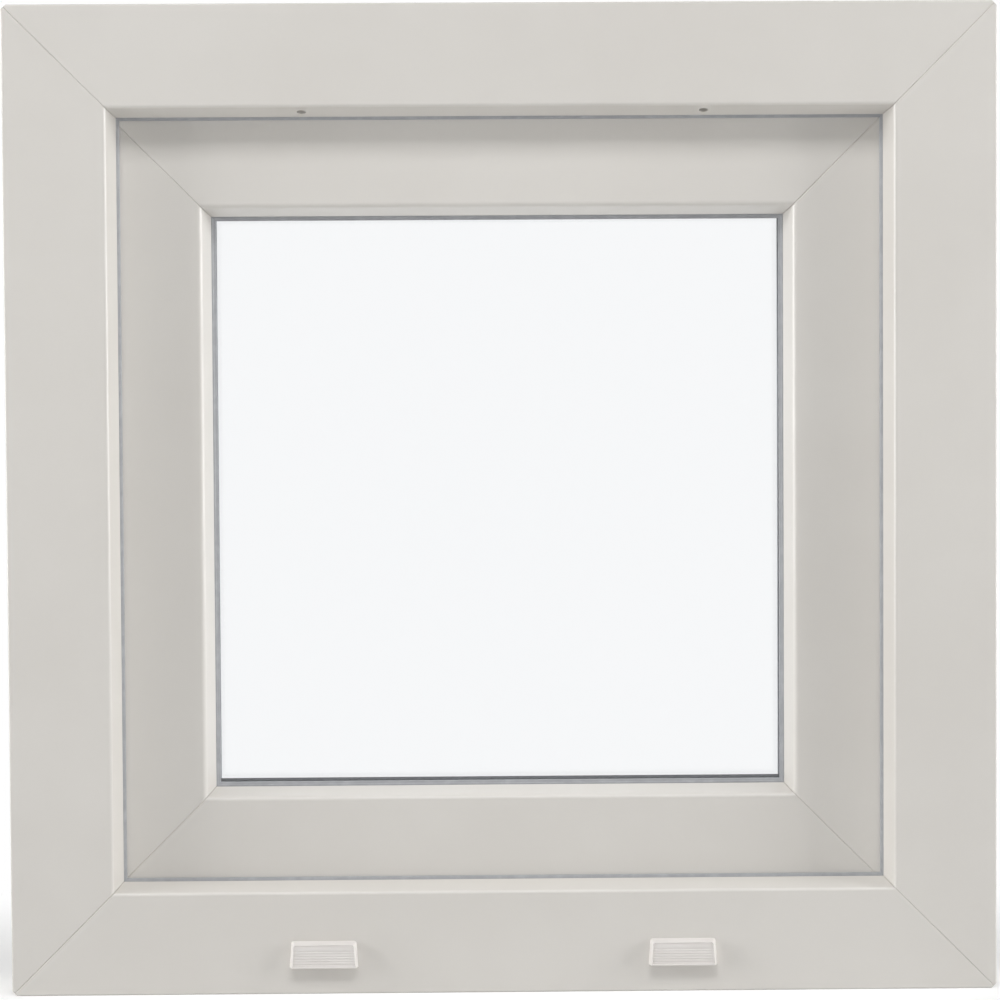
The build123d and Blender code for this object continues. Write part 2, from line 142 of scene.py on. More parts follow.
class Graph:
    """Nodes of one material or world."""

    def __init__(self, owner: Union[bpy.types.Material, bpy.types.World]) -> None:
        """Empties the owner's node tree.

        Args:
            owner: The material or world.
        """
        owner.use_nodes = True
        self.tree = owner.node_tree
        self.tree.nodes.clear()

    def node(self, kind: str, settings: dict[str, Any] | None = None,
             sockets: dict[Union[str, int], Link] | None = None) -> bpy.types.Node:
        """Adds a node.

        Args:
            kind: The node's type.
            settings: Its settings, set first.
            sockets: Values or links for its inputs, by name or number.

        Returns:
            The new node.
        """
        node = self.tree.nodes.new(kind)
        for name, value in (settings or {}).items():
            setattr(node, name, value)
        for key, value in (sockets or {}).items():
            target = node.inputs[key]
            if isinstance(value, Value):
                self.tree.links.new(value.socket, target)
            elif isinstance(value, bpy.types.NodeSocket):
                self.tree.links.new(value, target)
            elif target.type == "RGBA" and len(value) == 3:
                target.default_value = (*value, 1.0)
            else:
                target.default_value = value
        return node

    def place(self, scale: Place = (1.0, 1.0, 1.0)) -> bpy.types.NodeSocket:
        """Object coordinates in metres, scaled along each axis.

        Args:
            scale: Factor along x, y and z.

        Returns:
            The vector socket.
        """
        here = self.node("ShaderNodeTexCoord").outputs["Object"]
        sockets = {"Vector": here, "Scale": scale}
        return self.node("ShaderNodeMapping", {"vector_type": "POINT"}, sockets).outputs[0]

    def noise(self, scale: float, detail: float = 2.0,
              stretch: Place = (1.0, 1.0, 1.0)) -> Value:
        """Cloudy noise between 0 and 1.

        Args:
            scale: Waves per metre.
            detail: Number of finer layers.
            stretch: Factor along each axis before the scale.

        Returns:
            The noise value.
        """
        sockets = {
            "Vector": self.place(stretch), "Scale": scale, "Detail": detail,
            "Roughness": NOISE_ROUGHNESS,
        }
        return Value(self, self.node("ShaderNodeTexNoise", {}, sockets).outputs[0])

    def blend(self, factor: Value, low: Link, high: Link) -> bpy.types.NodeSocket:
        """Colour between two colours.

        Args:
            factor: 0 for low, 1 for high.
            low: First colour.
            high: Second colour.

        Returns:
            The colour socket.
        """
        node = self.node("ShaderNodeMix", {"data_type": "RGBA"}, {0: factor, 6: low, 7: high})
        return node.outputs[2]

    def bump(self, height: Value, depth: float) -> bpy.types.NodeSocket:
        """Normal tilted by a height.

        Args:
            height: Height between 0 and 1.
            depth: Metres that a height of 1 stands for.

        Returns:
            The normal socket.
        """
        sockets = {"Height": height, "Distance": depth, "Strength": 1.0}
        return self.node("ShaderNodeBump", {}, sockets).outputs[0]

    def surface(self, shader: bpy.types.Node) -> None:
        """Connects a shader to the output."""
        world = shader.type == "BACKGROUND"
        kind = "ShaderNodeOutputWorld" if world else "ShaderNodeOutputMaterial"
        self.node(kind, {}, {"Surface": shader.outputs[0]})

    def seen(self) -> Value:
        """1 for rays that show the thing itself: straight, in a reflection or through glass."""
        path = self.node("ShaderNodeLightPath").outputs
        straight, mirrored, through = (
            Value(self, path[f"Is {kind} Ray"]) for kind in ("Camera", "Glossy", "Transmission"))
        return straight.most(mirrored).most(through)


# Finishes


class Run(Enum):
    """Which way a profile was extruded, as the stretch of the faint lines along it."""

    ACROSS = (0.004, 1.0, 1.0)
    UPWARD = (1.0, 1.0, 0.004)


@dataclass(frozen=True)
class Finish:
    """One surface finish."""

    name: str

    @cache
    def material(self) -> bpy.types.Material:
        """Builds the material once.

        Returns:
            The material.
        """
        made = bpy.data.materials.new(self.name)
        graph = Graph(made)
        graph.surface(self.shader(graph))
        return made

    def shader(self, graph: Graph) -> bpy.types.Node:
        """Adds the finish's nodes.

        Args:
            graph: Where they go.

        Returns:
            The shader node.
        """
        raise NotImplementedError


@dataclass(frozen=True)
class SatinProfile(Finish):
    """Extruded white plastic: satin, with faint die lines along the bar and a fine peel."""

    run: Run = Run.ACROSS
    pale: Colour = (0.700, 0.677, 0.640)
    deep: Colour = (0.677, 0.652, 0.614)
    roughness: float = 0.17
    uneven: float = 0.05
    relief: float = 0.02 * MM

    def shader(self, graph: Graph) -> bpy.types.Node:
        """Clouds vary the colour, die lines and peel the gloss and the normal."""
        lines = graph.noise(900.0, 3.0, self.run.value)
        peel = graph.noise(1500.0, 2.0)
        cloud = graph.noise(7.0, 3.0)
        return graph.node("ShaderNodeBsdfPrincipled", {}, {
            "Base Color": graph.blend(cloud.ramp(0.3, 0.7), self.deep, self.pale),
            "Roughness": self.roughness + self.uneven * cloud + self.uneven * lines,
            "IOR": 1.53,
            "Normal": graph.bump(0.6 * lines + 0.4 * peel, self.relief),
        })


@dataclass(frozen=True)
class SoftSeal(Finish):
    """Light grey sealing lip with a dusty skin."""

    tint: Colour = (0.34, 0.348, 0.365)
    worn: Colour = (0.40, 0.408, 0.425)
    roughness: float = 0.24
    uneven: float = 0.14
    relief: float = 0.03 * MM

    def shader(self, graph: Graph) -> bpy.types.Node:
        """Powdery patches lighten and roughen the skin."""
        dust = graph.noise(160.0, 4.0)
        skin = graph.noise(2600.0, 2.0)
        return graph.node("ShaderNodeBsdfPrincipled", {}, {
            "Base Color": graph.blend(dust.ramp(0.35, 0.75), self.tint, self.worn),
            "Roughness": self.roughness + self.uneven * dust,
            "IOR": 1.5,
            "Normal": graph.bump(0.7 * skin + 0.3 * dust, self.relief),
        })


@dataclass(frozen=True)
class FloatGlass(Finish):
    """Clear float glass that lets the lamps through."""

    tint: Colour = (0.958, 0.964, 0.970)
    clear: Colour = (0.963, 0.968, 0.973)
    relief: float = 0.01 * MM

    def shader(self, graph: Graph) -> bpy.types.Node:
        """Glass for the eye, plain passage for light on its way to what lies behind."""
        wave = graph.noise(5.0, 1.0)
        glass = graph.node("ShaderNodeBsdfPrincipled", {}, {
            "Base Color": graph.blend(wave, self.tint, self.clear),
            "Roughness": 0.0,
            "IOR": 1.52,
            "Transmission Weight": 1.0,
            "Normal": graph.bump(wave, self.relief),
        })
        passage = graph.node("ShaderNodeBsdfTransparent", {}, {"Color": self.clear})
        shadow = Value(graph, graph.node("ShaderNodeLightPath").outputs["Is Shadow Ray"])
        return graph.node("ShaderNodeMixShader", {}, {
            0: shadow, 1: glass.outputs[0], 2: passage.outputs[0],
        })


@dataclass(frozen=True)
class WarmSpacer(Finish):
    """Dark matt spacer between the panes, pierced with fine holes, which are painted darker as the
    shade inside them.
    """

    tint: Colour = (0.022, 0.025, 0.030)
    # painted shade: the colour of the holes, darker than the spacer as the shade inside them
    painted_hole_shade: Colour = (0.008, 0.009, 0.010)
    pitch: float = 3.2 * MM
    roughness: float = 0.7
    uneven: float = 0.15
    shine: float = 0.1
    relief: float = 0.1 * MM

    def shader(self, graph: Graph) -> bpy.types.Node:
        """Rows of holes come from waves along two axes; they dent the normal and their colour is
        painted shade.
        """
        here = graph.place((math.tau / self.pitch,) * 3)
        parts = graph.node("ShaderNodeSeparateXYZ", {}, {0: here}).outputs
        dots = Value(graph, parts[0]).sine() * Value(graph, parts[2]).sine()
        holes = dots.ramp(0.55, 0.9)
        grain = graph.noise(900.0, 3.0)
        return graph.node("ShaderNodeBsdfPrincipled", {}, {
            # the holes are painted darker here: painted shade inside them
            "Base Color": graph.blend(holes, self.tint, self.painted_hole_shade),
            "Roughness": self.roughness + self.uneven * grain,
            "IOR": 1.5,
            "Specular IOR Level": self.shine,
            "Normal": graph.bump(0.4 * grain - holes, self.relief),
        })


@dataclass(frozen=True)
class EdgeSealant(Finish):
    """Black sealant, tooled by hand, round the edge of the panes."""

    tint: Colour = (0.012, 0.012, 0.013)
    worn: Colour = (0.03, 0.03, 0.032)
    roughness: float = 0.35
    uneven: float = 0.3
    relief: float = 0.4 * MM

    def shader(self, graph: Graph) -> bpy.types.Node:
        """Slow ripples from the tool vary the colour, the gloss and the normal."""
        ripple = graph.noise(120.0, 3.0)
        return graph.node("ShaderNodeBsdfPrincipled", {}, {
            "Base Color": graph.blend(ripple, self.tint, self.worn),
            "Roughness": self.roughness + self.uneven * ripple,
            "IOR": 1.45,
            "Normal": graph.bump(ripple, self.relief),
        })


@dataclass(frozen=True)
class MouldedCap(Finish):
    """Moulded white plastic, a little paler than the profiles."""

    pale: Colour = (0.775, 0.745, 0.720)
    deep: Colour = (0.745, 0.713, 0.686)
    roughness: float = 0.30
    uneven: float = 0.08
    relief: float = 0.02 * MM

    def shader(self, graph: Graph) -> bpy.types.Node:
        """Flow marks vary the gloss, a fine spark texture the normal."""
        flow = graph.noise(90.0, 3.0, (0.35, 1.0, 1.0))
        spark = graph.noise(3200.0, 2.0)
        return graph.node("ShaderNodeBsdfPrincipled", {}, {
            "Base Color": graph.blend(flow.ramp(0.3, 0.7), self.deep, self.pale),
            "Roughness": self.roughness + self.uneven * flow,
            "IOR": 1.5,
            "Normal": graph.bump(0.7 * spark + 0.3 * flow, self.relief),
        })


@dataclass(frozen=True)
class PowderCoat(Finish):
    """White powder coat on metal, with its orange peel."""

    pale: Colour = (0.76, 0.755, 0.74)
    deep: Colour = (0.745, 0.739, 0.723)
    roughness: float = 0.24
    uneven: float = 0.08
    coat: float = 0.26
    coat_uneven: float = 0.06
    coat_roughness: float = 0.2
    relief: float = 0.05 * MM

    def shader(self, graph: Graph) -> bpy.types.Node:
        """Peel a millimetre or two across, under a smooth coat."""
        peel = graph.noise(650.0, 2.0)
        cloud = graph.noise(25.0, 2.0)
        return graph.node("ShaderNodeBsdfPrincipled", {}, {
            "Base Color": graph.blend(cloud.ramp(0.3, 0.7), self.deep, self.pale),
            "Roughness": self.roughness + self.uneven * cloud,
            "IOR": 1.5,
            "Coat Weight": self.coat + self.coat_uneven * cloud,
            "Coat Roughness": self.coat_roughness,
            "Normal": graph.bump(peel, self.relief),
        })


@dataclass(frozen=True)
class ZincPlate(Finish):
    """Bright zinc plate on steel: spangled, drawn along its length."""

    bright: Colour = (0.56, 0.57, 0.59)
    dull: Colour = (0.48, 0.485, 0.50)
    spangle_scale: float = 420.0
    roughness: float = 0.34
    spangle_uneven: float = 0.10
    drawn_uneven: float = 0.06
    relief: float = 0.004 * MM

    def shader(self, graph: Graph) -> bpy.types.Node:
        """Cells give the spangle, stretched noise the drawing lines."""
        sockets = {"Vector": graph.place(), "Scale": self.spangle_scale}
        cells = graph.node("ShaderNodeTexVoronoi", {}, sockets)
        spangle = Value(graph, cells.outputs["Distance"])
        drawn = graph.noise(1800.0, 3.0, (1.0, 1.0, 0.03))
        gloss = self.roughness + self.spangle_uneven * spangle + self.drawn_uneven * drawn
        return graph.node("ShaderNodeBsdfPrincipled", {}, {
            "Base Color": graph.blend(spangle.ramp(0.1, 0.8), self.bright, self.dull),
            "Metallic": 1.0,
            "Roughness": gloss,
            "Normal": graph.bump(0.5 * spangle + 0.5 * drawn, self.relief),
        })


HORIZONTAL_PROFILE = SatinProfile("satin_profile_across", Run.ACROSS)
UPRIGHT_PROFILE = SatinProfile("satin_profile_upward", Run.UPWARD)
SEAL = SoftSeal("soft_grey_seal")
GLASS = FloatGlass("float_glass")
SPACER = WarmSpacer("warm_spacer")
SEALANT = EdgeSealant("edge_sealant")
CAP = MouldedCap("moulded_cap")
COAT = PowderCoat("white_powder_coat")
ZINC = ZincPlate("zinc_plate")


def dress(names: Iterable[str], finish: Finish) -> None:
    """Gives carried-over solids a finish.

    Args:
        names: The nodes' names.
        finish: The finish they take.
    """
    for name in names:
        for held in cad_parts[name].material_slots:
            held.material = finish.material()
    log.info("dressed %s in %s", ", ".join(names), finish.name)


# Modelling


NEAR = 0.1 * MM  # places closer than this count as the same
ALONG = 0.9  # cosine from which a direction lies along an axis
SQUARE = 0.98  # cosine from which a face looks straight along an axis
ACROSS = 0.1  # cosine up to which a direction lies across an axis


class Part(Enum):
    """What a selection picks: the edit mode's three select modes."""

    VERTEX = "VERT"
    EDGE = "EDGE"
    FACE = "FACE"


Test = Callable[[Vector, Vector], bool]


def put_down() -> None:
    """Leaves edit mode and deselects everything."""
    if bpy.context.mode != "OBJECT":
        bpy.ops.object.mode_set(mode="OBJECT")
    bpy.ops.object.select_all(action="DESELECT")


class Workpiece:
    """One mesh piece, shaped from a primitive with the modelling operators."""

    def __init__(self, name: str) -> None:
        """Takes the primitive that has just been added.

        Args:
            name: The piece's name.
        """
        self.thing = bpy.context.active_object
        self.thing.name = name
        self.thing.data.name = name

    @classmethod
    def box(cls, name: str, low: Place, high: Place) -> "Workpiece":
        """Starts from a box.

        Args:
            name: The piece's name.
            low: Lowest corner, in metres.
            high: Highest corner.

        Returns:
            The new piece.
        """
        put_down()
        centre = (Vector(low) + Vector(high)) / 2
        bpy.ops.mesh.primitive_cube_add(size=1.0, location=centre)
        made = cls(name)
        made.thing.scale = Vector(high) - Vector(low)
        made.settle()
        return made

    @classmethod
    def drum(cls, name: str, radius: float, start: Place, length: Place,
             sides: int) -> "Workpiece":
        """Starts from a cylinder.

        Args:
            name: The piece's name.
            radius: Its radius.
            start: Middle of its first end.
            length: Vector from there to the middle of the other end.
            sides: Faces round it.

        Returns:
            The new piece.
        """
        put_down()
        along = Vector(length)
        bpy.ops.mesh.primitive_cylinder_add(
            vertices=sides, radius=radius, depth=along.length,
            location=Vector(start) + along / 2,
            rotation=Vector((0, 0, 1)).rotation_difference(along).to_euler())
        made = cls(name)
        made.settle()
        return made

    @classmethod
    def hoop(cls, name: str, low: Place, high: Place,
             section: list[tuple[float, float]]) -> "Workpiece":
        """Runs a closed section round an upright square.

        Args:
            name: The piece's name.
            low: Lowest corner of the whole piece.
            high: Highest corner.
            section: Depth from its outside face and reach in from its edge, for each corner.

        Returns:
            The new piece.
        """
        put_down()
        centre = (Vector(low) + Vector(high)) / 2
        centre.y = low[1]
        half = (high[0] - low[0]) / 2
        depth, reach = section[0]
        bpy.ops.mesh.primitive_circle_add(
            vertices=4, radius=(half - reach) * math.sqrt(2), location=centre,
            rotation=(math.pi / 2, math.pi / 4, 0))
        made = cls(name)
        made.settle()
        bpy.ops.object.mode_set(mode="EDIT")
        bpy.ops.mesh.select_all(action="SELECT")
        made.move((0, depth, 0))
        for next_depth, next_reach in section[1:] + section[:1]:
            step = (0, next_depth - depth, 0)
            bpy.ops.mesh.extrude_edges_move(TRANSFORM_OT_translate={"value": step})
            grow = (half - next_reach) / (half - reach)
            made.resize((grow, 1, grow), centre)
            depth, reach = next_depth, next_reach
        bpy.ops.mesh.select_all(action="SELECT")
        bpy.ops.mesh.remove_doubles(threshold=0.01 * MM)
        return made

    def take(self) -> None:
        """Leaves edit mode and selects this piece alone."""
        put_down()
        self.thing.select_set(True)
        bpy.context.view_layer.objects.active = self.thing

    def settle(self) -> None:
        """Moves the piece's place into its mesh and leaves its object at the origin."""
        self.take()
        bpy.ops.object.transform_apply(location=True, rotation=True, scale=True)

    def pick(self, part: Part, test: Test) -> "Workpiece":
        """Selects in edit mode by place and normal.

        Args:
            part: Vertices, edges or faces.
            test: Takes the element's middle and its normal, or an edge's direction.

        Returns:
            The piece itself.
        """
        self.take()
        bpy.ops.object.mode_set(mode="EDIT")
        bpy.ops.mesh.select_mode(type=part.value)
        bpy.ops.mesh.select_all(action="DESELECT")
        mesh = bmesh.from_edit_mesh(self.thing.data)
        if part is Part.FACE:
            for face in mesh.faces:
                face.select_set(test(face.calc_center_median(), face.normal))
        elif part is Part.EDGE:
            for edge in mesh.edges:
                one, other = (corner.co for corner in edge.verts)
                edge.select_set(test((one + other) / 2, (other - one).normalized()))
        else:
            for corner in mesh.verts:
                corner.select_set(test(corner.co, corner.normal))
        bmesh.update_edit_mesh(self.thing.data)
        return self

    def extrude(self, step: Place) -> "Workpiece":
        """Extrudes the picked faces and moves them by step."""
        bpy.ops.mesh.extrude_region_move(TRANSFORM_OT_translate={"value": step})
        return self

    def move(self, step: Place) -> "Workpiece":
        """Moves what is picked by step."""
        bpy.ops.transform.translate(value=step)
        return self

    def resize(self, factor: Place, centre: Place) -> "Workpiece":
        """Scales what is picked about a centre."""
        bpy.ops.transform.resize(value=factor, center_override=centre)
        return self

    def inset(self, width: float, depth: float = 0.0) -> "Workpiece":
        """Insets the picked faces, and pushes them in by depth."""
        bpy.ops.mesh.inset(thickness=width, depth=-depth)
        return self

    def bevel(self, width: float, segments: int) -> "Workpiece":
        """Rounds the picked edges."""
        bpy.ops.mesh.bevel(offset=width, segments=segments, profile=0.5, affect="EDGES")
        return self

    def bisect(self, point: Place, normal: Place) -> "Workpiece":
        """Cuts the whole mesh along a plane without removing anything."""
        bpy.ops.mesh.select_all(action="SELECT")
        bpy.ops.mesh.bisect(plane_co=point, plane_no=normal)
        return self

    def modify(self, kind: str, **settings: Any) -> "Workpiece":
        """Adds a modifier and applies it.

        Args:
            kind: The modifier's type.
            settings: Its settings.

        Returns:
            The piece itself.
        """
        self.settle()
        modifier = self.thing.modifiers.new(kind.lower(), kind)
        for name, value in settings.items():
            setattr(modifier, name, value)
        bpy.ops.object.modifier_apply(modifier=modifier.name)
        return self

    def join(self, other: "Workpiece") -> "Workpiece":
        """Takes another piece's mesh into this one."""
        other.settle()
        self.settle()
        other.thing.select_set(True)
        bpy.ops.object.join()
        return self

    def copied(self, name: str, turn: Matrix) -> "Workpiece":
        """A copy with its own mesh, set in its place.

        Args:
            name: The copy's name.
            turn: Where it goes, from where the first one is.

        Returns:
            The copy.
        """
        self.settle()
        bpy.ops.object.duplicate(linked=False)
        twin = Workpiece(name)
        twin.thing.matrix_world = turn
        twin.settle()
        return twin

    def done(self, finish: Finish, slot: str, replaced: Iterable[str] = (),
             angle: float = 35.0) -> None:
        """Smooths, dresses and places the piece.

        Args:
            finish: Its finish.
            slot: The record's material slot; not used.
            replaced: Nodes that it stands for.
            angle: Edges sharper than this many degrees stay sharp.
        """
        self.settle()
        bpy.ops.object.mode_set(mode="EDIT")
        bpy.ops.mesh.select_all(action="SELECT")
        bpy.ops.mesh.normals_make_consistent(inside=False)
        bpy.ops.object.mode_set(mode="OBJECT")
        bpy.ops.object.shade_smooth_by_angle(angle=math.radians(angle))
        self.thing.data.materials.clear()
        self.thing.data.materials.append(finish.material())
        if replaced:
            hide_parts(*replaced)
        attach(self.thing, BODY)
        log.info("made %s", self.thing.name)


# The window's sub-assemblies


@dataclass
class OuterFrame:
    """Fixed frame: four mitred bars and the seal behind its lip."""

    level_bars: tuple[str, ...] = ("frame_head", "frame_sill")
    upright_bars: tuple[str, ...] = ("frame_jamb_left", "frame_jamb_right")

    def build(self) -> None:
        """Dresses the bars and the seal."""
        dress(self.level_bars, HORIZONTAL_PROFILE)
        dress(self.upright_bars, UPRIGHT_PROFILE)
        dress(("frame_gasket",), SEAL)


@dataclass
class Sash:
    """Opening sash with its glazing beads and room side seal."""

    level_bars: tuple[str, ...] = ("sash_top_rail", "sash_bottom_rail", "bead_top", "bead_bottom")
    upright_bars: tuple[str, ...] = (
        "sash_stile_left", "sash_stile_right", "bead_left", "bead_right",
    )

    def build(self) -> None:
        """Dresses the bars, beads and seal."""
        dress(self.level_bars, HORIZONTAL_PROFILE)
        dress(self.upright_bars, UPRIGHT_PROFILE)
        dress(("sash_gasket",), SEAL)


@dataclass
class Glazing:
    """Insulating glass unit between its two seals."""

    seal_section: tuple[tuple[float, float], ...] = (
        (0.0, 1.0), (0.0, 3.6), (2.9, 3.6), (2.9, 6.0), (3.2, 6.6), (3.6, 6.85), (4.0, 6.8),
        (4.2, 7.0), (4.5, 7.8), (5.1, 8.3), (5.9, 8.3), (5.9, 0.0), (2.9, 0.0), (2.9, 1.0),
    )

    def build(self) -> None:
        """Dresses the panes, spacer, sealant and inner seal, and models the outer seal."""
        dress(("outer_pane", "inner_pane"), GLASS)
        dress(("spacer_bar",), SPACER)
        dress(("edge_seal",), SEALANT)
        dress(("bead_gasket",), SEAL)
        self.outer_seal()

    def outer_seal(self) -> None:
        """Models the seal outside the glass: a foot and two lips with a groove between them."""
        low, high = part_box("glass_gasket")
        section = [(depth * MM, reach * MM) for depth, reach in self.seal_section]
        seal = Workpiece.hoop("outer_glass_seal", low, high, section)
        seal.done(SEAL, "grey_seal", ("glass_gasket",))


@dataclass
class DrainCover:
    """Small cover over a drain slot: a sloping hood with a rimmed, ribbed face."""

    side: str
    top_share: float = 39.6 / 41.7
    face_width_share: float = 0.932
    face_height_share: float = 0.88
    shoulder: float = 3 * MM
    shoulder_round: float = 1.5 * MM
    rim: float = 0.6 * MM
    recess: float = 0.5 * MM
    ribs: int = 7
    rib_start: float = 0.4 * MM
    rib_pitch: float = 1.6 * MM
    rib_rise: float = 0.15 * MM
    soften: float = 0.28 * MM
    soften_angle: float = 38.0
    lip_reach: float = 0.5 * MM
    lip_height: float = 1.0 * MM
    lip_inset: float = 0.5 * MM
    lip_round: float = 0.3 * MM

    def build(self) -> None:
        """Models the cover in the place of its solid."""
        node = f"drain_cap_{self.side}"
        low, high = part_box(node)
        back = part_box("frame_sill")[0].y
        front = low.y + self.lip_reach
        middle = (low.x + high.x) / 2
        cover = self.hood(low, high, back, front)
        cover.pick(Part.FACE, lambda _, way: way.y < -SQUARE)
        cover.inset(self.rim, self.recess)
        self.rib(cover, low.z + self.rim + self.rib_start, front)
        cover.modify("BEVEL", width=self.soften, segments=3, limit_method="ANGLE",
                     angle_limit=math.radians(self.soften_angle))
        half = self.face_width_share * (high.x - low.x) / 2 - self.lip_inset
        lip = Workpiece.box(f"drip_lip_{self.side}", (middle - half, low.y, low.z),
                            (middle + half, front + self.recess, low.z + self.lip_height))
        lip.pick(Part.EDGE, lambda at, _: at.y < low.y + NEAR).bevel(self.lip_round, 3)
        cover.join(lip)
        cover.done(CAP, "white_cap", (node,))

    def hood(self, low: Vector, high: Vector, back: float, front: float) -> Workpiece:
        """Shapes the hood: narrower above, its face smaller than its back.

        Args:
            low: Lowest corner of the solid.
            high: Highest corner of the solid.
            back: Depth of the wall that it sits on.
            front: Depth of its face.

        Returns:
            The hood.
        """
        middle = (low.x + high.x) / 2
        hood = Workpiece.box(f"drain_cover_{self.side}", (low.x, front, low.z),
                             (high.x, back, high.z))
        hood.pick(Part.VERTEX, lambda at, _: at.z > high.z - NEAR)
        hood.resize((self.top_share, 1, 1), (middle, back, high.z))
        hood.pick(Part.FACE, lambda _, way: way.y < -ALONG)
        hood.resize((self.face_width_share, 1, self.face_height_share), (middle, front, low.z))
        hood.pick(Part.EDGE, lambda at, way: abs(way.z) < ALONG and abs(way.y) > 0.5
                  and at.z > high.z - self.shoulder)
        return hood.bevel(self.shoulder_round, 4)

    def rib(self, cover: Workpiece, foot: float, front: float) -> None:
        """Raises fine level ribs on the recessed face.

        Args:
            cover: The cover.
            foot: Height of the lowest rib's lower edge.
            front: Depth of the rim's face.
        """
        stripe = self.rib_pitch / 2
        for step in range(1, 2 * self.ribs):
            cover.bisect((0, 0, foot + step * stripe), (0, 0, 1))
        cover.pick(Part.FACE, lambda at, way: way.y < -SQUARE and at.y > front + self.recess / 2
                   and int((at.z - foot) / stripe + 100) % 2 == 0)
        cover.extrude((0, -self.rib_rise, 0))


@dataclass
class Handle:
    """Room side handle: an oval rosette and a lever that points down."""

    rosette_corner: float = 14 * MM
    rosette_round: float = 1.6 * MM
    neck_depth: float = 87 * MM
    grip_depth: float = 101 * MM
    bend: float = 14 * MM
    bend_steps: int = 10
    half_width: float = 10 * MM
    half_thickness: float = 5.5 * MM
    lever_round: float = 4.2 * MM
    collar_radius: float = 12 * MM
    collar_height: float = 4 * MM
    collar_round: float = 1.0 * MM
    tip_steps: tuple[tuple[float, float], ...] = (
        (1.2 * MM, 0.97), (0.9 * MM, 0.93), (0.6 * MM, 0.87), (0.3 * MM, 0.75),
    )

    def build(self) -> None:
        """Models the rosette and the lever in the places of their solids."""
        low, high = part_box("handle_rosette")
        rosette = Workpiece.box("rosette_cover", low, high)
        rosette.pick(Part.EDGE, lambda _, way: abs(way.y) > ALONG).bevel(self.rosette_corner, 10)
        rosette.pick(Part.EDGE, lambda at, way: at.y > high.y - NEAR and abs(way.y) < ACROSS)
        rosette.bevel(self.rosette_round, 4)
        rosette.done(COAT, "white_metal", ("handle_rosette",))
        self.lever((low.x + high.x) / 2, high.y, (low.z + high.z) / 2)

    def lever(self, x: float, foot: float, z: float) -> None:
        """Models the lever: neck, bend, grip and rounded tip, on a collar.

        Args:
            x: Middle of the lever across the window.
            foot: Depth of the rosette's face.
            z: Height of the neck's centre line.
        """
        lever_low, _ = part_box("handle_lever")
        lever = Workpiece.box("lever", (x - self.half_width, foot, z - self.half_thickness),
                              (x + self.half_width, self.neck_depth, z + self.half_thickness))
        lever.pick(Part.FACE, lambda _, way: way.y > ALONG)
        bpy.ops.mesh.spin(steps=self.bend_steps, angle=math.pi / 2,
                          center=(x, self.neck_depth, z - self.bend), axis=(1, 0, 0))
        lever.pick(Part.FACE, lambda at, way: way.z < -ALONG and at.y > self.grip_depth - MM)
        tip = lever_low.z + sum(drop for drop, _ in self.tip_steps)
        lever.extrude((0, 0, tip - (z - self.bend)))
        lever.pick(Part.EDGE, lambda at, _: abs(abs(at.x - x) - self.half_width) < NEAR
                   and self.off_centre(at, z) > 0.8 * self.half_thickness)
        lever.bevel(self.lever_round, 5)
        lever.pick(Part.FACE, lambda at, way: way.z < -ALONG and at.z < tip + NEAR)
        for drop, share in self.tip_steps:
            lever.extrude((0, 0, -drop))
            lever.resize((share, share, 1), (x, self.grip_depth, lever_low.z))
        collar = Workpiece.drum("collar", self.collar_radius, (x, foot, z),
                                (0, self.collar_height, 0), 64)
        crown = foot + self.collar_height
        collar.pick(Part.EDGE, lambda at, _: at.y > crown - NEAR).bevel(self.collar_round, 3)
        lever.join(collar)
        lever.done(COAT, "white_metal", ("handle_lever",))

    def off_centre(self, at: Vector, height: float) -> float:
        """Measures how far a point lies from the lever's centre line.

        Args:
            at: The point.
            height: Height of the neck's centre line.

        Returns:
            The distance in the upright plane of the bend.
        """
        if at.y < self.neck_depth:
            return abs(at.z - height)
        if at.z < height - self.bend:
            return abs(at.y - self.grip_depth)
        return abs(math.hypot(at.y - self.neck_depth, at.z - height + self.bend) - self.bend)


